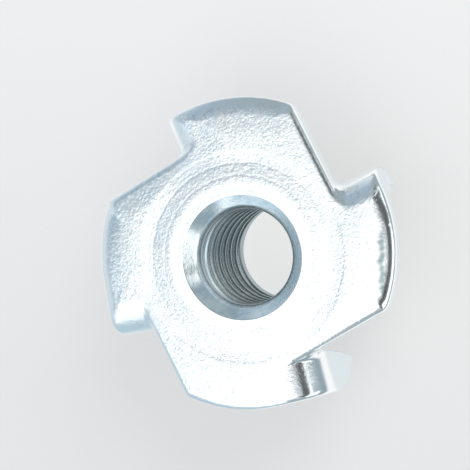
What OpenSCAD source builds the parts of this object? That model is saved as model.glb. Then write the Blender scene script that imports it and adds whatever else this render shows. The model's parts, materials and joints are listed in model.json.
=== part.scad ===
// Four-prong tee nut for wood, pressed from one piece of zinc-plated steel sheet.
// Millimetres. +Z up, the flange face on top, the open end of the barrel on z = 0,
// the origin on the bore's axis. Seen from above, each lobe of the flange points along
// X or Y, its prong hangs at its anticlockwise side, its straight cut at its clockwise side.

/* [Overall] */
// Height from the barrel's open end to the flange face
height = 11; // [9:0.5:14]
// Diameter of the flange over its four lobes
flange_diameter = 22; // [21:0.25:24]
// Thickness of the steel sheet
sheet = 1.5; // [1.3:0.05:1.7]
// How far the stamped flange sits off the bore's axis, towards +Y
flange_offset = 0.25; // [0:0.05:0.4]

/* [Barrel and bore] */
// Outer diameter of the barrel
barrel_diameter = 9.9; // [9.4:0.1:10.4]
// Diameter of the bore over the crests of its M8 thread
bore_diameter = 6.8; // [6.6:0.05:6.9]
// Diameter of the drawn-in mouth of the bore, on the flange face
mouth_diameter = 8.75; // [8.2:0.05:9.2]
// Depth of the drawn-in mouth below the flange face
mouth_depth = 0.95; // [0.7:0.05:1.2]
// Chamfer of the bore and of the outer wall at the barrel's open end
end_chamfer = 0.2; // [0.1:0.05:0.3]
// Radius of the fillet between the barrel and the underside of the flange
neck_fillet = 0.6; // [0.3:0.1:1]

/* [Lobes] */
// Angle between a lobe's middle line and its straight cut edge
cut_angle = 30; // [26:1:34]
// Distance from the flange's middle to the line of a cut edge
cut_distance = 8.27; // [8:0.05:8.6]
// Width of the rolled-over edge around the face
rollover_width = 0.9; // [0.5:0.05:1]
// Depth by which the rolled-over edge drops at its end
rollover_depth = 0.4; // [0.2:0.05:0.5]

/* [Prongs] */
// Angle through which the sheet is bent to make a prong
prong_bend = 88; // [80:1:90]
// Inside radius of that bend
bend_radius = 0.7; // [0.4:0.05:1]
// Angle between a prong's bend line and its lobe's middle line
prong_flare = 14; // [10:1:18]
// Distance from the flange's middle to the outer face of a prong
prong_distance = 3.5; // [3.3:0.05:3.8]
// Distance along the bend line from the flange's middle to a prong's inner edge
prong_inner = 7.8; // [7.5:0.05:8]
// How far the tips of the prongs lie below the flange face
prong_depth = 8.5; // [6:0.25:9]
// Width of the blunt tip of a prong
tip_width = 0.45; // [0.3:0.05:0.8]
// How far a prong's inner edge slants in towards its tip
tip_slant = 0.75; // [0.4:0.05:1]

/* [Hidden] */
$fn = 96;
lobes = 4;
eps = 0.01;
far = 2 * flange_diameter;
flange_r = flange_diameter / 2;
barrel_r = barrel_diameter / 2;
bore_r = bore_diameter / 2;
mouth_r = mouth_diameter / 2;
flange_bottom = height - sheet;
bend_outer = bend_radius + sheet;
bend_start = prong_distance - bend_outer;
prong_lean = 90 - prong_bend;
// a prong's back edge runs tangent to the rim, so it lies one flange radius out
prong_width = flange_r - prong_inner;
prong_length = (prong_depth - bend_outer * (1 - sin(prong_lean))) / cos(prong_lean);
// The arc of the rolled-over edge is tangent to the face and ends at its depth.
rollover_r = (pow(rollover_width, 2) + pow(rollover_depth, 2)) / (2 * rollover_depth);
// Direction of the neighbouring lobe's cut edge, and where its line starts beside the prong,
// in a frame turned so that the bend line runs along x
cut_turn = 90 - 2 * cut_angle - prong_flare;
cut_start = [cut_distance / cos(cut_turn), 0];
zinc = [0.80, 0.83, 0.86];

// The part of a rectangle's top right corner that the rolled-over edge takes away.
// The corner is at [0, 0].
module rollover_waste() {
    difference() {
        translate([-rollover_width, -rollover_depth])
            square([rollover_width + eps, rollover_depth + eps]);
        translate([-rollover_width, -rollover_r]) circle(r = rollover_r);
    }
}

// Waste of a straight edge that runs along +Y, with the sheet on its -X side
module edge_waste(length) {
    rotate([90, 0, 0]) mirror([0, 0, 1]) linear_extrude(length) rollover_waste();
}

// Everything outside a lobe's prong side and the next lobe's cut edge
module notch_outline() {
    along_cut = [-sin(cut_turn), cos(cut_turn)];
    polygon([cut_start, cut_start + far * along_cut, [far, far], [far, 0]]);
}

// The flat rosette that carries the lobes
module flange_plate() {
    difference() {
        translate([0, 0, flange_bottom]) rotate_extrude() difference() {
            square([flange_r, sheet]);
            translate([flange_r, sheet]) rollover_waste();
        }
        for (i = [0 : lobes - 1]) rotate([0, 0, i * 360 / lobes]) {
            translate([0, 0, flange_bottom - eps]) linear_extrude(sheet + 2 * eps) notch_outline();
            // the rolled-over edge along the cut; it starts under the prong's root
            translate([cut_start.x, cut_start.y, height]) rotate([0, 0, cut_turn])
                edge_waste(flange_diameter);
        }
    }
}

// One prong: the corner of its lobe, the bend, and the blade. The rolled-over edge runs
// on along its back, first straight, then round the bend, then down the arc of the blade.
module prong() {
    // the back of the blade is square to the bend line at first and narrows to the tip
    narrowing = prong_width - tip_slant - tip_width;
    back_r = (pow(prong_length, 2) + pow(narrowing, 2)) / (2 * narrowing);
    back_x = prong_width - back_r;
    translate([prong_inner, bend_start, height - bend_outer]) difference() {
        union() {
            translate([0, -bend_start, bend_radius]) cube([prong_width, bend_start, sheet]);
            on_bend() translate([bend_radius, 0]) square([sheet, prong_width]);
            on_blade() translate([0, 0, bend_radius]) linear_extrude(sheet) intersection() {
                polygon([[0, 0], [prong_width, 0], [prong_width, prong_length],
                         [tip_slant, prong_length]]);
                translate([back_x, 0]) circle(r = back_r);
            }
        }
        translate([prong_width, -bend_start, bend_outer]) edge_waste(bend_start);
        on_bend() translate([bend_outer, prong_width]) mirror([1, -1, 0]) rollover_waste();
        on_blade() translate([back_x, 0, 0]) rotate_extrude(angle = 2 * asin(prong_length / back_r))
            translate([back_r, bend_outer]) rollover_waste();
    }
}

// Sweeps an outline around the bend: x is the distance from the bend's axis, y runs along it
module on_bend() {
    rotate([90, 0, 90]) rotate([0, 0, prong_lean]) rotate_extrude(angle = prong_bend) children();
}

// Stands the blade below the bend: x along the bend line, y down to the tip, z outwards
module on_blade() {
    rotate([prong_lean, 0, 0]) rotate([-90, 0, 0]) children();
}

// Barrel with the fillet under the flange
module barrel() {
    rotate_extrude() {
        polygon([[0, 0], [barrel_r - end_chamfer, 0], [barrel_r, end_chamfer],
                 [barrel_r, height - sheet / 2], [0, height - sheet / 2]]);
        difference() {
            translate([barrel_r - eps, flange_bottom - neck_fillet])
                square([neck_fillet + eps, neck_fillet + eps]);
            translate([barrel_r + neck_fillet, flange_bottom - neck_fillet])
                circle(r = neck_fillet);
        }
    }
}

// Everything that the bore takes away
module bore() {
    translate([0, 0, -eps]) cylinder(r = bore_r, h = height + 2 * eps);
    translate([0, 0, height - mouth_depth])
        cylinder(r1 = bore_r, r2 = mouth_r, h = mouth_depth);
    translate([0, 0, height - eps]) cylinder(r = mouth_r, h = 1);
    cylinder(r1 = bore_r + end_chamfer, r2 = bore_r, h = end_chamfer);
    translate([0, 0, -1]) cylinder(r = bore_r + end_chamfer, h = 1 + eps);
}

// The flange is drawn with its bend lines along x and y, and turned as a whole by the flare.
module tee_nut() {
    color(zinc) rotate([0, 0, prong_flare]) difference() {
        union() {
            barrel();
            translate(flange_offset * [sin(prong_flare), cos(prong_flare), 0]) {
                flange_plate();
                for (i = [0 : lobes - 1]) rotate([0, 0, i * 360 / lobes]) prong();
            }
        }
        bore();
    }
}

tee_nut();
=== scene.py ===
"""Looks of the tee nut: one detailed form in place of the CAD node, zinc plating, a pale table
and studio light. Lengths are millimetres until a mesh is made, then metres."""

import json
import math

import bpy
import numpy as np
from mathutils import Matrix, Vector


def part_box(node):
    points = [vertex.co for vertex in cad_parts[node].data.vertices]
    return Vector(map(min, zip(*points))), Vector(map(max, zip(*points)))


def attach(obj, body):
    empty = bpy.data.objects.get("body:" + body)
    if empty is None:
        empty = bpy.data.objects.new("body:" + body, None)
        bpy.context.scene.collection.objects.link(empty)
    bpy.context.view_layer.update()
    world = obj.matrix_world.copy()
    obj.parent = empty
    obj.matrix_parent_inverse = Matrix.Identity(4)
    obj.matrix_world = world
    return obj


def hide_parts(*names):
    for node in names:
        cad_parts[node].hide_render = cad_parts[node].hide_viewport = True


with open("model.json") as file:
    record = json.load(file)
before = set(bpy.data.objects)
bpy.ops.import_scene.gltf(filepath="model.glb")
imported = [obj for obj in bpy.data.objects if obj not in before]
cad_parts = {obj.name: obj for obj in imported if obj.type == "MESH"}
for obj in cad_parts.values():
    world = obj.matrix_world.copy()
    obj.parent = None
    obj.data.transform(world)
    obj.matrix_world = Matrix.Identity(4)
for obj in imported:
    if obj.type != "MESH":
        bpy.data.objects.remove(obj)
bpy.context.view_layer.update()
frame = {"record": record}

MM = 0.001

# ---- sizes of the part ------------------------------------------------------------------
LOW, HIGH = (np.array(corner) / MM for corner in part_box("tee_nut"))
HEIGHT = HIGH[2]
MIDDLE = (HIGH[:2] + LOW[:2]) / 2      # of the flange, which sits a little off the bore's axis
DIMS = {mount["name"]: mount["dims"] for mount in frame["record"]["mounts"]}
CREST_R = DIMS["thread"]["r_mm"]
BARREL_R = DIMS["barrel"]["r_mm"]
SHEET = 1.5
NECK_FILLET = 0.6
END_CHAMFER = 0.2
CUT_ANGLE = math.radians(30)
BEND = math.radians(88)
TIP_WIDTH, TIP_SLANT = 0.45, 0.75

# What differs from lobe to lobe comes in the order +X, +Y, -X, -Y.
# Radius of the rim, and width and depth of its roll-over
RIMS = [10.98, 10.995, 10.84, 10.995]
RIM_ROLLS = [(1.25, 0.53), (1.4, 0.48), (1.75, 0.6), (0.6, 0.3)]
# Distance of the prong's outer face from the middle, its flare, and the outer radius of its bend
PRONGS = [(1.32, math.radians(26), 2.2), (1.70, math.radians(24), 2.1),
          (4.22, math.radians(10), 2.5), (3.5, math.radians(14), 3.6)]
PRONG_DEPTHS = [8.5, 8.5, 8.5, 8.1]
# Distance from the middle to the cut edge that faces the prong, and that edge's small turn
CUTS = [(8.0, math.radians(-2.5)), (8.28, 0.0),
        (8.47, math.radians(-2.8)), (8.45, math.radians(-0.5))]
# How far the face falls towards the bend, and towards the notch beside it
BEND_DROOPS = [0.05, 0.08, 0.03, 0.05]
NOTCH_DROOPS = [0.05, 0.115, 0.04, 0.05]

# Every lobe has these alike.
BACK_ROLL = (0.35, 0.15)      # width and depth of the roll-over on the backs of the prongs
CUT_ROLL = (0.55, 0.3)        # and along the cut edges
RIM_DROOP = 0.045             # how far the face falls towards the rim
NOTCH_ROUND = 1.0             # radius of the inside corner of a notch
NOTCH_PAST_BEND = 0.9         # how far the notch's floor lies past the start of the bend
CORNER_ROUND = 0.2            # radius of a corner in the flange's outline
EDGE_ROUND = 0.12
LOWER_ROUND = 0.1
INNER_ROUND = 0.14
ROOT_SIDE, ROOT_LENGTH = 0.9, 2.0      # how far a prong's root reaches into the plate

# The mouth, the thread and the end of the bore
MOUTH_R = 4.375
MOUTH_ROUND = 0.06                    # how far the mouth's rounded edge reaches past MOUTH_R
BEVEL_SLOPE = math.radians(48.5)      # of the mouth's bevel, from the vertical
BEVEL_BEND = 0.9                      # radius with which the bevel bends into the bore
PITCH = 1.25
THREAD_DEPTH = 0.4
LIP = 1.05                            # height at which the thread has run out

# Rises of the face with the distance from the axis, from the drawing dies: rise, start, end
RELIEF = [(-0.07, 5.1, 6.9), (0.035, 6.9, 7.7), (-0.025, 7.9, 10.5)]

# The meshes
CELL = 0.15                   # of the grid that the flange's mesh is drawn from
COLUMNS, THREAD_ROWS = 216, 220
FACE_RING = 4.8               # the bore's own mesh reaches this far over the face
END_RING = 4.2                # and this far over the barrel's end


# ---- signed distances -------------------------------------------------------------------
def round_max(a, b, r):
    """Intersection of two bodies with its edge rounded at radius r."""
    return np.minimum(-r, np.maximum(a, b)) + np.hypot(np.maximum(a + r, 0), np.maximum(b + r, 0))


def round_min(a, b, r):
    """Union of two bodies with a fillet of radius r."""
    return np.maximum(r, np.minimum(a, b)) - np.hypot(np.maximum(r - a, 0), np.maximum(r - b, 0))


def blend_min(a, b, k):
    """Union of two bodies, blended where their distances differ by less than k."""
    h = np.maximum(k - np.abs(a - b), 0) / k
    return np.minimum(a, b) - h * h * k / 4


def smooth_step(x, a, b):
    t = np.clip((x - a) / (b - a), 0, 1)
    return t * t * (3 - 2 * t)


def between(x, a, b, c, d):
    """Rises from 0 to 1 between a and b, and falls to 0 again between c and d."""
    return smooth_step(x, a, b) * smooth_step(-x, -d, -c)


def rolled_sheet(side, above, width, depth):
    """Sheet whose upper edge is rolled over. side is the distance outside its outline, above
    the height over its upper surface."""
    radius = (width**2 + depth**2) / (2 * depth)
    rolled = np.hypot(np.maximum(width + side, 0), np.maximum(above + radius, 0)) - radius
    top = np.where(side < -width, above, rolled)
    return round_max(round_max(top, side, EDGE_ROUND), -above - SHEET, LOWER_ROUND)


def in_lobe(x, y, i, flare=0.0):
    """Coordinates in lobe i's frame, whose x axis is turned from its middle line by the flare."""
    a = flare + i * math.pi / 2
    x, y = x - MIDDLE[0], y - MIDDLE[1]
    return x * math.cos(a) + y * math.sin(a), y * math.cos(a) - x * math.sin(a)


def relief(r):
    """Height of the face over its level: the drawing dies leave a shallow groove."""
    return sum(rise * smooth_step(r, start, end) for rise, start, end in RELIEF)


def off_mark(x, y, at, width):
    """Distance across the first lobe's wavy hammer mark, which runs along its rim, in widths."""
    return (x - at - 0.05 * np.sin(4.1 * y) - 0.03 * np.sin(9.7 * y + 1)) / width


def dent(x, y):
    """Height of the face in the hammer mark."""
    return -0.03 * np.exp(-off_mark(x, y, 9.72, 0.27)**2) * between(y, -2.6, -1.6, 0.9, 1.9)


def dull_streak(x, y):
    """Share of the dull streak beside the hammer mark."""
    broken = 0.75 + 0.25 * np.sin(11 * y + 5 * x) * np.sin(17 * y + 1)
    return np.exp(-off_mark(x, y, 10.08, 0.25)**2) * between(y, -3.4, -1.6, 1.2, 2.4) * broken


def outline(x, y):
    """Distances outside the rim and into the nearest notch, the width and depth of the rim's
    roll-over, and the number of that notch."""
    rim = np.hypot(x - MIDDLE[0], y - MIDDLE[1])
    toward = np.arctan2(y - MIDDLE[1], x - MIDDLE[0])
    lobe = np.round(toward / (math.pi / 2)).astype(int) % 4
    rim -= np.array(RIMS)[lobe]
    rim_width, rim_depth = np.array(RIM_ROLLS)[lobe].T
    notch = np.full(x.shape, -20.0)
    nearest = np.zeros(x.shape, int)
    for i, (distance, turn) in enumerate(CUTS):
        face, flare, bend_r = PRONGS[i]
        u, v = in_lobe(x, y, i)
        cut = u * math.cos(CUT_ANGLE + turn) + v * math.sin(CUT_ANGLE + turn) - distance
        # the notch's floor lies under the bend
        bend_start = face - bend_r
        floor = v * math.cos(flare) - u * math.sin(flare) - (bend_start + NOTCH_PAST_BEND)
        one = round_min(cut, floor, NOTCH_ROUND)
        nearest[one > notch] = i
        notch = np.maximum(notch, one)
    return rim, notch, rim_width, rim_depth, nearest


def droop(x, y):
    """Height of the face where it falls towards its rims, notches and bends."""
    rim, notch, _, _, nearest = outline(x, y)
    fall = np.maximum(RIM_DROOP * smooth_step(rim, -2.6, -0.9),
                      np.array(NOTCH_DROOPS)[nearest] * smooth_step(notch, -2.1, 0.1))
    for i, (face, flare, bend_r) in enumerate(PRONGS):
        u, v = in_lobe(x, y, i, flare)
        start = face - bend_r
        here = between(v, start - 1.9, start + 0.5, face, face + 1) * smooth_step(u, 6, 8)
        fall = np.maximum(fall, BEND_DROOPS[i] * here)
    return -fall


def prong_inner(i):
    """Where the outer face of prong i leaves the cut edge that faces it, along its bend line."""
    face, flare, _ = PRONGS[i]
    distance, turn = CUTS[i]
    a = CUT_ANGLE + turn - flare
    return (distance - face * math.sin(a)) / math.cos(a) + 0.2


def plate(x, y, z):
    """The flat rosette that carries the lobes."""
    rim, notch, rim_width, rim_depth = outline(x, y)[:4]
    side = round_max(rim, notch, CORNER_ROUND)
    # the sheet under a bend already follows it
    for i, (face, flare, bend_r) in enumerate(PRONGS):
        u, v = in_lobe(x, y, i, flare)
        past = np.clip(v - (face - bend_r), 0, 0.9 * bend_r)
        inner_u = prong_inner(i)
        share = smooth_step(u, inner_u - 0.3, inner_u + 0.4) * smooth_step(-past, -1.8, -0.9)
        z = z + share * (bend_r - np.sqrt(bend_r**2 - past**2))
    share = smooth_step(notch - rim, -0.4, 0.4)
    width = rim_width + (CUT_ROLL[0] - rim_width) * share
    depth = rim_depth + (CUT_ROLL[1] - rim_depth) * share
    return rolled_sheet(side, z - HEIGHT, width, depth)


def prong(x, y, z, i):
    """Corner of lobe i, its bend and its blade, measured along the bent sheet."""
    face, flare, bend_r = PRONGS[i]
    u, v = in_lobe(x, y, i, flare)
    inner_u = prong_inner(i)
    length = (PRONG_DEPTHS[i] - bend_r * (1 - math.cos(BEND))) / math.sin(BEND)
    # the three zones: flat corner, bend and blade
    out, up = v - (face - bend_r), z - (HEIGHT - bend_r)
    angle = np.arctan2(out, up)
    flat = (out <= 0) & ((up >= 0) | (up > out))
    bent = ~flat & (angle >= 0) & (angle < BEND)
    down = out * math.cos(BEND) - up * math.sin(BEND)
    across = out * math.sin(BEND) + up * math.cos(BEND)
    above = np.where(flat, up, np.where(bent, np.hypot(out, up), across)) - bend_r
    # the back follows the rim, runs straight round the bend and narrows on an arc to the tip
    back_flat = np.where(v < 0, np.hypot(u, v), u) - RIMS[i]
    narrowing = RIMS[i] - inner_u - TIP_WIDTH - TIP_SLANT
    back_r = (length**2 + narrowing**2) / (2 * narrowing)
    arc_u = u - (RIMS[i] - back_r)
    back_blade = np.where(down > 0, np.hypot(arc_u, down), arc_u) - back_r
    back = np.where(flat | bent, back_flat, back_blade)
    # the bend starts inside the plate, and its inner edge comes free on the way down
    slant = math.atan2(TIP_SLANT, length)
    turned = np.where(flat, 0, np.where(bent, angle, BEND))
    buried = ROOT_SIDE * (1 - smooth_step(turned, 0.5, BEND))
    inner_blade = (inner_u - u) * math.cos(slant) + np.maximum(down, 0) * math.sin(slant)
    inner = np.where(flat | bent, inner_u - buried - u, inner_blade)
    share = smooth_step(turned, 0.0, 0.8)
    roll = (a + (b - a) * share for a, b in zip(RIM_ROLLS[i], BACK_ROLL))
    body = round_max(rolled_sheet(back, above, *roll), inner, INNER_ROUND)
    tip = np.where(flat | bent, -length, down - length)
    body = round_max(body, tip, EDGE_ROUND)
    return np.maximum(body, -out - ROOT_LENGTH)


def nut(p):
    """The whole nut with its bore closed."""
    x, y = p[:, 0], p[:, 1]
    r = np.hypot(x, y)
    z = p[:, 2] - relief(r) - dent(x, y) - droop(x, y)
    body = plate(x, y, z)
    for i, (face, flare, _) in enumerate(PRONGS):
        u, v = in_lobe(x, y, i, flare)
        inner_u = prong_inner(i)
        near = (u > inner_u - 2) & (v > face - 5.5) & (v < face + 3.5)
        if not near.any():
            continue
        one = prong(x[near], y[near], z[near], i)
        # a soft inside corner where the cut edge runs into the bend
        corner = np.hypot(u[near] - inner_u + 0.2, v[near] - face + 0.3)
        deep = smooth_step(HEIGHT - z[near], 0.05, 0.6)
        k = 0.02 + 0.9 * smooth_step(-corner, -1.8, -0.3) * deep
        body[near] = blend_min(body[near], one, k)
    body = np.maximum(body, z - HEIGHT)
    barrel = round_max(r - BARREL_R, -p[:, 2], END_CHAMFER)
    # its top ends within the sheet
    barrel = round_max(barrel, p[:, 2] - (HEIGHT - 0.8), 0.01)
    return round_min(body, barrel, NECK_FILLET)


def gradient(field, p, step=0.02):
    """Gradient by the four corners of a tetrahedron."""
    total = np.zeros_like(p)
    for corner in np.array([[1, -1, -1], [-1, -1, 1], [-1, 1, -1], [1, 1, 1]], float):
        total += corner * field(p + corner * step)[:, None]
    return total / (4 * step)


# ---- a mesh from a signed distance ------------------------------------------------------
def measure(field, low, cell, n):
    """The field on a grid of n points. A coarse look comes first, so that only the blocks near
    the surface are measured finely; the others get the sign of their middle."""
    block = 8
    axes = [low[d] + cell * np.arange(n[d]) for d in range(3)]
    starts = [np.arange(0, n[d], block) for d in range(3)]
    mids = np.stack(np.meshgrid(*[low[d] + cell * (starts[d] + block / 2) for d in range(3)],
                                indexing="ij"), -1)
    rough = field(mids.reshape(-1, 3)).reshape(mids.shape[:3])
    near = np.abs(rough) < cell * block * 0.87 + 0.5

    def spans(at, extra):
        return tuple(slice(starts[d][q], min(starts[d][q] + block + extra, n[d]))
                     for d, q in enumerate(at))

    value = np.full(n, np.inf)
    for at in np.argwhere(near):
        s = spans(at, 1)
        grid = np.stack(np.meshgrid(*[axes[d][s[d]] for d in range(3)], indexing="ij"), -1)
        value[s] = field(grid.reshape(-1, 3)).reshape(grid.shape[:3])
    for at in np.argwhere(~near):
        part = value[spans(at, 0)]
        part[np.isinf(part)] = np.sign(rough[tuple(at)])
    return value


def surface_net(field, low, high, cell):
    """One vertex in each cell that the surface crosses, one quad across each crossed edge."""
    n = np.ceil((high - low) / cell).astype(int) + 1
    value = measure(field, low, cell, n)
    inside = value < 0
    cells = np.zeros(n - 1, int)
    for a, b, c in np.ndindex(2, 2, 2):
        cells += inside[a:a + n[0] - 1, b:b + n[1] - 1, c:c + n[2] - 1]
    crossed = (cells > 0) & (cells < 8)
    index = np.full(crossed.shape, -1)
    where = np.argwhere(crossed)
    index[tuple(where.T)] = np.arange(len(where))
    unit = np.eye(3, dtype=int)
    # the middle of the points where the surface crosses a cell's edges
    total = np.zeros((len(where), 3))
    count = np.zeros(len(where))
    for d in range(3):
        e, f = (axis for axis in range(3) if axis != d)
        for a, b in np.ndindex(2, 2):
            at = where + a * unit[e] + b * unit[f]
            f0 = value[tuple(at.T)]
            f1 = value[tuple((at + unit[d]).T)]
            hit = (f0 < 0) != (f1 < 0)
            t = np.zeros(len(where))
            t[hit] = f0[hit] / (f0[hit] - f1[hit])
            total[hit] += (at + t[:, None] * unit[d])[hit]
            count += hit
    points = low + cell * total / count[:, None]
    quads = []
    for d in range(3):
        e, f = (d + 1) % 3, (d + 2) % 3
        first = tuple(slice(0 if q == d else 1, n[q] - 1) for q in range(3))
        second = tuple(slice(1, n[q] if q == d else n[q] - 1) for q in range(3))
        a, b = inside[first], inside[second]
        for outward, hit in ((True, a & ~b), (False, b & ~a)):
            at = np.argwhere(hit) + unit[e] + unit[f]
            ring = [at, at - unit[e], at - unit[e] - unit[f], at - unit[f]]
            quad = np.stack([index[tuple(r.T)] for r in ring], 1)
            quads.append(quad if outward else quad[:, ::-1])
    return points, np.vstack(quads)


def settle(points, quads, field, rounds, cell):
    """Evens the vertices out along the surface and puts them on it."""
    sides = np.vstack([quads[:, [k, (k + 1) % 4]] for k in range(4)])
    pairs = np.unique(np.sort(sides, axis=1), axis=0)
    degree = np.bincount(pairs.ravel(), minlength=len(points))[:, None]
    for k in range(rounds):
        if k < rounds - 1:
            total = np.zeros_like(points)
            np.add.at(total, pairs[:, 0], points[pairs[:, 1]])
            np.add.at(total, pairs[:, 1], points[pairs[:, 0]])
            points = points + 0.5 * (total / degree - points)
        for _ in range(2):
            g = gradient(field, points)
            f = field(points)[:, None]
            move = -f * g / np.maximum((g * g).sum(1, keepdims=True), 0.2)
            points = points + np.clip(move, -cell, cell)
    return points


def flange_mesh():
    """Flange, prongs and barrel, open where the bore's own mesh fills them."""
    margin = 2.13 * CELL
    points, quads = surface_net(nut, LOW - margin, HIGH + margin, CELL)
    points = settle(points, quads, nut, 4, CELL)
    g = gradient(nut, points)
    normals = g / np.linalg.norm(g, axis=1, keepdims=True)
    # open the two flat discs
    r = np.hypot(points[:, 0], points[:, 1])
    face = (points[:, 2] > HEIGHT - 0.3) & (r < FACE_RING)
    end = (points[:, 2] < 0.3) & (r < END_RING)
    hidden = face | end
    whole = ~hidden[quads].any(1)
    rim = np.unique(quads[~whole])
    rim = rim[~hidden[rim]]
    for at_end, ring in ((False, FACE_RING), (True, END_RING)):
        at = rim[(points[rim, 2] < 1) == at_end]
        points[at, :2] *= (ring / r[at])[:, None]
        normals[at] = (0, 0, -1 if at_end else 1)
    used = np.unique(quads[whole])
    remap = np.full(len(points), -1)
    remap[used] = np.arange(len(used))
    return points[used], remap[quads[whole]], normals[used]


# ---- the bore ---------------------------------------------------------------------------
def thread_radius(turn):
    """Radius of the worn-in thread at a phase of its turn."""
    groove = 0.5 - 0.5 * np.cos(turn)
    wear = 0.5 - 0.5 * np.cos(2 * turn + 0.6)
    return CREST_R + THREAD_DEPTH * groove + 0.05 * wear


def bore_mesh():
    """Face ring, mouth bevel, thread, smooth lip and end chamfer as rows of one turned mesh,
    and how much painted darkening each point has: a little dull zinc all over, painted reflection
    lines on the thread and painted shade deeper in the bore."""
    edge_r = MOUTH_R + MOUTH_ROUND
    rows = [(r, HEIGHT) for r in np.linspace(FACE_RING, edge_r, 4)]
    rows += [(edge_r - 0.1 * a, HEIGHT - 0.05 * a**2) for a in np.linspace(0, 1, 5)[1:]]
    # the bevel runs straight at first and then bends into the bore
    start = CREST_R + BEVEL_BEND * (1 - math.cos(BEVEL_SLOPE))
    start_z = HEIGHT - (MOUTH_R - start) / math.tan(BEVEL_SLOPE)
    top_r, top_z = rows[-1]
    rows += [(top_r + (start - top_r) * t, top_z + (start_z - top_z) * t)
             for t in np.linspace(0, 1, 8)[1:]]
    rows += [(CREST_R + BEVEL_BEND * (1 - math.cos(a)),
              start_z - BEVEL_BEND * (math.sin(BEVEL_SLOPE) - math.sin(a)))
             for a in np.linspace(BEVEL_SLOPE, 0, 9)[1:]]
    bottom_z = rows[-1][1]
    threaded = slice(len(rows), len(rows) + THREAD_ROWS - 1)
    rows += [(CREST_R, z) for z in np.linspace(bottom_z, LIP, THREAD_ROWS)[1:]]
    rows += [(CREST_R + 0.03, z) for z in np.linspace(LIP, END_CHAMFER, 5)[1:]]
    rows += [(CREST_R + 0.07, 0.12), (CREST_R + 0.13, 0.05), (CREST_R + 0.2, 0.015),
             (CREST_R + 0.3, 0.0), (END_RING, 0.0)]
    rows = np.array(rows)
    angle = np.arange(COLUMNS) * 2 * math.pi / COLUMNS
    r = np.repeat(rows[:, :1], COLUMNS, 1)
    z = np.repeat(rows[:, 1:], COLUMNS, 1)
    # the thread is right-handed; it runs in below the bevel and out above the lip
    turn = 2 * math.pi * z[threaded] / PITCH - angle
    below = bottom_z - z[threaded]
    share = smooth_step(below, -0.1, 0.8) * smooth_step(z[threaded] - LIP, 0.0, 0.35)
    r[threaded] = CREST_R + (thread_radius(turn) - CREST_R) * share
    # the thread's flanks are painted in dark and light lines, a painted reflection, and painted
    # darker deeper in the bore, a painted shade
    dull = np.full(r.shape, 0.1)
    painted_reflection_lines = smooth_step(-np.cos(5 * turn), -0.4, 0.6) * smooth_step(below, -0.1, 0.3)
    dull[threaded] = (0.1 + 0.9 * painted_reflection_lines) * (0.4 + 0.6 * smooth_step(below, 0.0, 4.0))
    points = np.stack([r * np.cos(angle), r * np.sin(angle), z], -1)
    first = np.arange(len(rows) - 1)[:, None] * COLUMNS
    a = first + np.arange(COLUMNS)
    b = first + (np.arange(COLUMNS) + 1) % COLUMNS
    quads = np.stack([a, a + COLUMNS, b + COLUMNS, b], -1).reshape(-1, 4)
    return points.reshape(-1, 3), quads, dull.ravel()


# ---- the material -----------------------------------------------------------------------
class Graph:
    """Adds nodes to a tree in one call each: settings by name, inputs as values or sockets."""
    def __init__(self, tree):
        self.tree = tree

    def feed(self, socket, value):
        if isinstance(value, bpy.types.NodeSocket):
            self.tree.links.new(value, socket)
        else:
            socket.default_value = value

    def __call__(self, kind, inputs=(), **settings):
        node = self.tree.nodes.new(kind)
        for name, value in settings.items():
            setattr(node, name, value)
        for name, value in dict(inputs).items():
            self.feed(node.inputs[name], value)
        return node

    def math(self, operation, *values):
        return self("ShaderNodeMath", enumerate(values), operation=operation).outputs[0]

    def vector(self, operation, *values):
        node = self("ShaderNodeVectorMath", enumerate(values), operation=operation)
        return node.outputs["Value" if operation in ("LENGTH", "DOT_PRODUCT") else "Vector"]

    def split(self, vector):
        return self("ShaderNodeSeparateXYZ", {0: vector}).outputs

    def ramp(self, value, low, high):
        """Smooth step from 0 at low to 1 at high."""
        node = self("ShaderNodeMapRange", {"Value": value, "From Min": low, "From Max": high},
                    interpolation_type="SMOOTHSTEP")
        return node.outputs[0]

    def noise(self, vector, scale, detail=2.0, roughness=0.5, distortion=0.0):
        node = self("ShaderNodeTexNoise", {"Vector": vector, "Scale": scale, "Detail": detail,
                                           "Roughness": roughness, "Distortion": distortion})
        return node.outputs["Fac"]

    def share(self, name):
        """The share that add_shares wrote on the mesh."""
        return self("ShaderNodeAttribute", attribute_name=name).outputs["Fac"]

    def mix(self, factor, a, b):
        """Mix of two colours, which are sockets or (r, g, b)."""
        node = self("ShaderNodeMix", data_type="RGBA")
        for k, value in ((0, factor), (6, a), (7, b)):
            self.feed(node.inputs[k], (*value, 1) if isinstance(value, tuple) else value)
        return node.outputs[2]


def new_material(name):
    mat = bpy.data.materials.new(name)
    mat.use_nodes = True
    return mat, mat.node_tree.nodes["Principled BSDF"].inputs, Graph(mat.node_tree)


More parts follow.
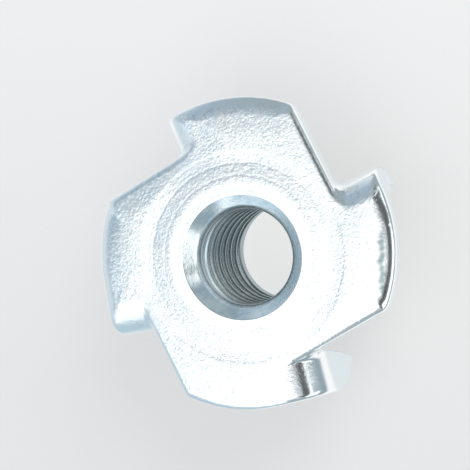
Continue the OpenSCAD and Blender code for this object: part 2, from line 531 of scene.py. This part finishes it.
def zinc_material():
    mat, shader, g = new_material("zinc_plate")
    mm = g.vector("MULTIPLY", g("ShaderNodeTexCoord").outputs["Object"], (1000, 1000, 1000))
    worked, brushed = g.share("worked"), g.share("brushed")
    # orange peel of the stretched sheet
    peel = g.noise(mm, 2.9, 3.0, 0.6, 1.2)
    fine = g.noise(mm, 7.5, 2.0, 0.5, 0.6)
    height = g.math("ADD", g.math("MULTIPLY", peel, 0.72), g.math("MULTIPLY", fine, 0.28))
    # rings drawn by the dies
    wander = g.math("MULTIPLY", g.math("SUBTRACT", g.noise(mm, 0.5), 0.5), 0.35)
    r = g.math("ADD", g.vector("LENGTH", g.vector("MULTIPLY", mm, (1, 1, 0))), wander)
    rings = 0.0
    for ring_r, width, depth in ((5.75, 0.10, 0.35), (6.65, 0.10, 0.4), (7.35, 0.14, 0.3)):
        off = g.math("DIVIDE", g.math("SUBTRACT", r, ring_r), width)
        bell = g.math("EXPONENT", g.math("MULTIPLY", g.math("MULTIPLY", off, off), -1))
        rings = g.math("ADD", rings, g.math("MULTIPLY", bell, depth))
    height = g.math("SUBTRACT", height, g.math("MULTIPLY", rings, 0.45))
    height = g.math("MULTIPLY", height, worked)
    bump = g("ShaderNodeBump", {"Height": height, "Strength": 1.0, "Distance": 4.2e-5})
    clouds = g.ramp(g.noise(mm, 0.55, 3.0, 0.6), 0.35, 0.65)
    tone = g.mix(clouds, (0.85, 0.885, 0.90), (0.875, 0.88, 0.875))
    # the valleys of the peel are painted a little darker, a painted shade in them
    valley_shade = g.math("MULTIPLY", g.ramp(g.math("MULTIPLY", peel, -1), -0.47, -0.38), worked)
    tone = g.mix(g.math("MULTIPLY", valley_shade, 0.5), tone, (0.66, 0.70, 0.71))
    # dull zinc on the streak beside the hammer mark; in the bore, painted reflection lines on the
    # thread and painted shade that deepens down the bore
    tone = g.mix(g.share("dull"), tone, (0.26, 0.31, 0.31))
    # the mouth's bevel is burnished by the punch, which makes it rougher, and painted with a blue
    # reflection in patches, painted darker towards the right, where the far wall is mirrored
    patches = g.ramp(g.noise(mm, 0.65, 3.0, 0.6, 0.4), 0.38, 0.62)
    painted_blue = g.mix(patches, (0.64, 0.75, 0.82), (0.86, 0.91, 0.93))
    right = g.math("MULTIPLY", g.ramp(g.split(mm)["X"], 0.8, 3.6), 0.8)
    tone = g.mix(brushed, tone, g.mix(right, painted_blue, (0.52, 0.65, 0.73)))
    # the bevel and the peel are rougher, and some bends are satin
    rough = g.math("MULTIPLY_ADD", g.noise(mm, 3.0, 3.0), 0.08, 0.10)
    for share, more in ((worked, 0.06), (brushed, 0.06), (g.share("soft"), 0.14)):
        rough = g.math("ADD", rough, g.math("MULTIPLY", share, more))
    for name, value in (("Base Color", tone), ("Roughness", rough), ("Normal", bump.outputs[0])):
        g.feed(shader[name], value)
    shader["Metallic"].default_value = 1.0
    return mat


# ---- the part ---------------------------------------------------------------------------
def bend_share(points, lobes):
    """1 on the bends of these lobes' prongs, 0 elsewhere."""
    share = np.zeros(len(points))
    for i in lobes:
        face, flare, bend_r = PRONGS[i]
        u, v = in_lobe(points[:, 0], points[:, 1], i, flare)
        bent = between(v, face - 1.1 * bend_r, face - 0.5 * bend_r, face, face + 0.6)
        share = np.maximum(share, bent * smooth_step(u, 6.0, 7.6))
    return share


def worked_share(points, normals):
    """How much of the orange peel each point keeps: the face has it, polished edges don't."""
    x, y = points[:, 0], points[:, 1]
    r = np.hypot(x, y)
    top = smooth_step(points[:, 2], HEIGHT - 0.6, HEIGHT - 0.3)
    face = smooth_step(normals[:, 2], 0.82, 0.97) * top * (0.3 + 0.7 * smooth_step(r, 4.9, 5.5))
    bends = np.zeros_like(r)
    for i, (distance, flare, bend_r) in enumerate(PRONGS):
        u, v = in_lobe(x, y, i, flare)
        bent = smooth_step(v, distance - bend_r, distance - 0.6 * bend_r)
        bends = np.maximum(bends, bent * between(u, 6.5, 7.5, 9.6, 10.6))
    share = 0.06 + 0.94 * np.maximum(face, 0.6 * bends * smooth_step(normals[:, 2], 0.2, 0.6))
    # the last lobe's bend and the first lobe's rim were pressed smoother
    smoother = np.maximum(0.5 * bend_share(points, (3,)), 0.6 * smooth_step(x, 9.5, 10.1))
    return share * (1 - smoother)


def add_mesh(name, points, quads, normals=None):
    mesh = bpy.data.meshes.new(name)
    mesh.from_pydata((points * MM).tolist(), [], quads.tolist())
    mesh.polygons.foreach_set("use_smooth", np.ones(len(quads), bool))
    if normals is not None:
        mesh.normals_split_custom_set_from_vertices(normals.tolist())
    mesh.update()
    piece = bpy.data.objects.new(name, mesh)
    bpy.context.scene.collection.objects.link(piece)
    return piece


def add_shares(piece, **shares):
    """Writes shares from 0 to 1 on the mesh's points, for the material."""
    for name, share in shares.items():
        layer = piece.data.attributes.new(name, "FLOAT", "POINT")
        layer.data.foreach_set("value", share.astype(np.float32))


def make_flange():
    points, quads, normals = flange_mesh()
    flange = add_mesh("tee_nut_body", points, quads, normals)
    streak = np.minimum(1.5 * dull_streak(points[:, 0], points[:, 1]), 1)
    add_shares(flange, worked=worked_share(points, normals), brushed=np.zeros(len(points)),
               soft=bend_share(points, (1, 2)), dull=streak * (points[:, 2] > HEIGHT - 0.6))
    return flange


def make_bore():
    points, quads, dull = bore_mesh()
    bore = add_mesh("tee_nut_bore", points, quads)
    r, depth = np.hypot(points[:, 0], points[:, 1]), HEIGHT - points[:, 2]
    # the face ring's peel meets the flange's
    ring = 0.06 + 0.282 * smooth_step(r, MOUTH_R + 0.1, FACE_RING)
    bevel = between(depth, 1e-4, 0.05, 0.8, 1.1)
    # the painted blue reflection is least at the bevel's far left, where a highlight falls
    painted_blue = 0.3 + 0.7 * smooth_step(points[:, 0] / r, -0.96, -0.75)
    add_shares(bore, worked=np.where(depth < 1e-4, ring, 0.14) + 0.2 * bevel, dull=dull,
               soft=np.zeros(len(points)), brushed=bevel * painted_blue)
    return bore


zinc = zinc_material()
for piece in (make_flange(), make_bore()):
    piece.data.materials.append(zinc)
    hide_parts("tee_nut")
    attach(piece, "root")


# ---- table and card ---------------------------------------------------------------------
def toward(azimuth, elevation, distance=0.4):
    """A place at a distance from the origin, by its angles in degrees."""
    a, e = math.radians(azimuth), math.radians(elevation)
    flat = distance * math.cos(e)
    return flat * math.cos(a), flat * math.sin(a), distance * math.sin(e)


def panel(name, corners, faces, material):
    mesh = bpy.data.meshes.new(name)
    mesh.from_pydata(corners, [], faces)
    thing = bpy.data.objects.new(name, mesh)
    thing.data.materials.append(material)
    bpy.context.scene.collection.objects.link(thing)
    return thing


def table_material():
    """Pale paper. Part of its tone is its own glow, so it stays pale to the camera and in the
    metal, where it falls off to a cool grey at a distance, a painted fall-off. Painted light and
    shade are in
    that glow: brighter to the back and under the bore for the camera, and for the metal painted
    shadows near the nut and a painted bright ring round it. Its places are in metres."""
    mat, shader, g = new_material("table")
    path = g("ShaderNodeLightPath").outputs
    direct = g.math("MAXIMUM", path["Is Camera Ray"], path["Is Transmission Ray"])
    mirrored = path["Is Glossy Ray"]
    place = g("ShaderNodeTexCoord").outputs["Object"]
    x, y = g.split(place)["X"], g.split(place)["Y"]
    away = g.vector("LENGTH", place)
    outside_bore_paint = g.ramp(away, 0.0036, 0.0046)      # under the bore, where little light gets in, the table is painted bright to the camera, a painted glow, and painted darker in the metal, a painted shade
    # to the camera, painted brighter towards the back, a painted fall-off of light
    cloud = g.math("MULTIPLY_ADD", g.noise(place, 60.0, 3.0), 0.1, -0.05)
    behind = g.math("ADD", g.ramp(y, -0.03, 0.03), cloud)
    seen = g.mix(behind, (0.372, 0.356, 0.352), (0.46, 0.443, 0.434))
    seen = g.mix(outside_bore_paint, (0.69, 0.70, 0.69), seen)
    # in the metal, a painted reflection: painted shadow close to the nut, a painted bright ring
    # further out, and a painted fall-off to cool grey at a distance, darker on the right
    far_painted_falloff = g.mix(g.ramp(x, -0.03, -0.005), (0.72, 0.80, 0.84), (0.22, 0.30, 0.35))
    near = g.mix(g.ramp(away, 0.0135, 0.018), (0.74, 0.79, 0.81), (1.0, 1.0, 1.0))
    painted_floor_reflection = g.mix(g.ramp(away, 0.026, 0.042), near, far_painted_falloff)
    # painted shadow on the table's lower left, seen only in the metal
    shade = g.math("MULTIPLY", g.ramp(x, 0.0, -0.006), g.ramp(y, -0.007, -0.018))
    painted_floor_reflection = g.mix(shade, painted_floor_reflection, (0.41, 0.57, 0.66))
    painted_floor_reflection = g.mix(outside_bore_paint, (0.43, 0.49, 0.52), painted_floor_reflection)
    albedo = g.mix(direct, (0.83, 0.83, 0.83), (0.42, 0.42, 0.42))
    g.feed(shader["Base Color"], g.mix(mirrored, albedo, (0.1, 0.1, 0.1)))
    g.feed(shader["Emission Color"], g.mix(mirrored, seen, painted_floor_reflection))
    g.feed(shader["Emission Strength"], g.math("MAXIMUM", direct, mirrored))
    shader["Roughness"].default_value = 0.9
    shader["Specular IOR Level"].default_value = 0.0
    return mat


def card_material():
    mat, shader, _ = new_material("black_card")
    shader["Base Color"].default_value = (0.02, 0.02, 0.02, 1)
    shader["Roughness"].default_value = 1.0
    shader["Specular IOR Level"].default_value = 0.0
    # its faint glow is painted light on the card, so that it shows dark grey in the metal
    shader["Emission Color"].default_value = (0.10, 0.105, 0.11, 1)
    shader["Emission Strength"].default_value = 1.0
    return mat


TABLE = 0.6      # half its side
panel("table", [(-TABLE, -TABLE, 0), (TABLE, -TABLE, 0), (TABLE, TABLE, 0), (-TABLE, TABLE, 0)],
      [(0, 1, 2, 3)], table_material())

# a dark card on the right gives the edges their contrast; only reflections see it
CARD = [(-40, 32, 48), (-15, 32, 48), (6, 32, 48), (13, 30, 50), (16, 27, 58),
        (19.5, 28, 68), (22.5, 32, 72), (26, 38, 64), (60, 42, 64)]      # azimuth, low, high
card = panel("dark_card", [toward(a, e) for a, low, high in CARD for e in (low, high)],
             [(2 * k, 2 * k + 2, 2 * k + 3, 2 * k + 1) for k in range(len(CARD) - 1)],
             card_material())
card.visible_camera = card.visible_diffuse = False
card.visible_shadow = card.visible_transmission = False


# ---- light and camera -------------------------------------------------------------------
def area_light(name, place, aim, size, radiance, color=(1, 1, 1)):
    data = bpy.data.lights.new(name, "AREA")
    data.shape = "RECTANGLE"
    data.size, data.size_y = size
    data.energy = radiance * math.pi * size[0] * size[1]
    data.color = color
    lamp = bpy.data.objects.new(name, data)
    lamp.location = place
    lamp.rotation_euler = (Vector(aim) - Vector(place)).to_track_quat("-Z", "Y").to_euler()
    bpy.context.scene.collection.objects.link(lamp)
    return lamp


def studio_world():
    """A room that is palest overhead and a little darker behind than on the left."""
    world = bpy.data.worlds.new("studio")
    world.use_nodes = True
    g = Graph(world.node_tree)
    way = g("ShaderNodeTexCoord").outputs["Generated"]
    height = g.split(way)["Z"]
    lift = g.vector("DOT_PRODUCT", way, (0.15, -0.25, 0.95))
    left = g.vector("DOT_PRODUCT", way, (-1, 0, 0))
    front = g.vector("DOT_PRODUCT", way, (-0.3, -0.95, 0))
    low = g.mix(g.ramp(left, 0.0, 0.7), (0.38, 0.45, 0.48), (0.39, 0.50, 0.60))
    glow = g.math("MULTIPLY", g.ramp(height, 0.42, 0.15), g.ramp(left, 0.3, 0.8))
    low = g.mix(glow, low, (0.74, 0.83, 0.88))
    low_front = g.math("MULTIPLY", g.ramp(front, 0.6, 0.9), g.ramp(height, 0.3, 0.1))
    low = g.mix(low_front, low, (0.52, 0.64, 0.72))
    room = g.mix(g.ramp(lift, 0.68, 0.88), low, (0.78, 0.82, 0.84))
    room = g.mix(g("ShaderNodeLightPath").outputs["Is Camera Ray"], room, (0.85, 0.85, 0.85))
    g.feed(world.node_tree.nodes["Background"].inputs["Color"], room)
    return world


def make_camera():
    """Looks at the face from its right, at an angle to the bore's axis."""
    data = bpy.data.cameras.new("camera")
    data.sensor_width = 36
    data.lens = 186.2
    data.clip_start = 0.01
    data.clip_end = 10
    camera = bpy.data.objects.new("camera", data)
    tip, turn = math.radians(2.0), math.radians(18.5)
    distance, shift_left, shift_up = 170, 0.46, 1.55
    right = Vector((math.cos(turn), -math.sin(turn) * math.sin(tip),
                    -math.sin(turn) * math.cos(tip)))
    up = Vector((0, math.cos(tip), -math.sin(tip)))
    back = right.cross(up)
    place = Vector((0, 0, HEIGHT)) + back * distance - right * shift_left + up * shift_up
    axes = Matrix((right, up, back)).transposed().to_4x4()
    camera.matrix_world = Matrix.Translation(place * MM) @ axes
    bpy.context.scene.collection.objects.link(camera)
    return camera


FACE = (0, 0, 0.01)
area_light("overhead", (0.034, -0.2, 0.46), (0.034, -0.2, 0), (0.464, 0.44), 0.94)
for name, azimuth, elevation, size in (("front", 212, 40, (0.42, 0.34)),
                                       ("front_low", 258, 30, (0.44, 0.4))):
    lamp = area_light(name, toward(azimuth, elevation, 0.66), FACE, size, 0.95)
    lamp.visible_diffuse = False
area_light("right_strip", toward(-2, 30, 0.6), FACE, (0.78, 0.125), 1.0)
area_light("right_low", toward(-12, 15, 0.6), FACE, (0.42, 0.19), 1.0)
key = area_light("key", (0.30, 0.40, 0.45), (0, 0, 0), (0.4, 0.4), 3.3, (1, 0.985, 0.965))
key.visible_glossy = False
bpy.context.scene.world = studio_world()
bpy.context.scene.camera = make_camera()
bpy.context.scene.view_settings.view_transform = "Standard"

bpy.context.view_layer.update()
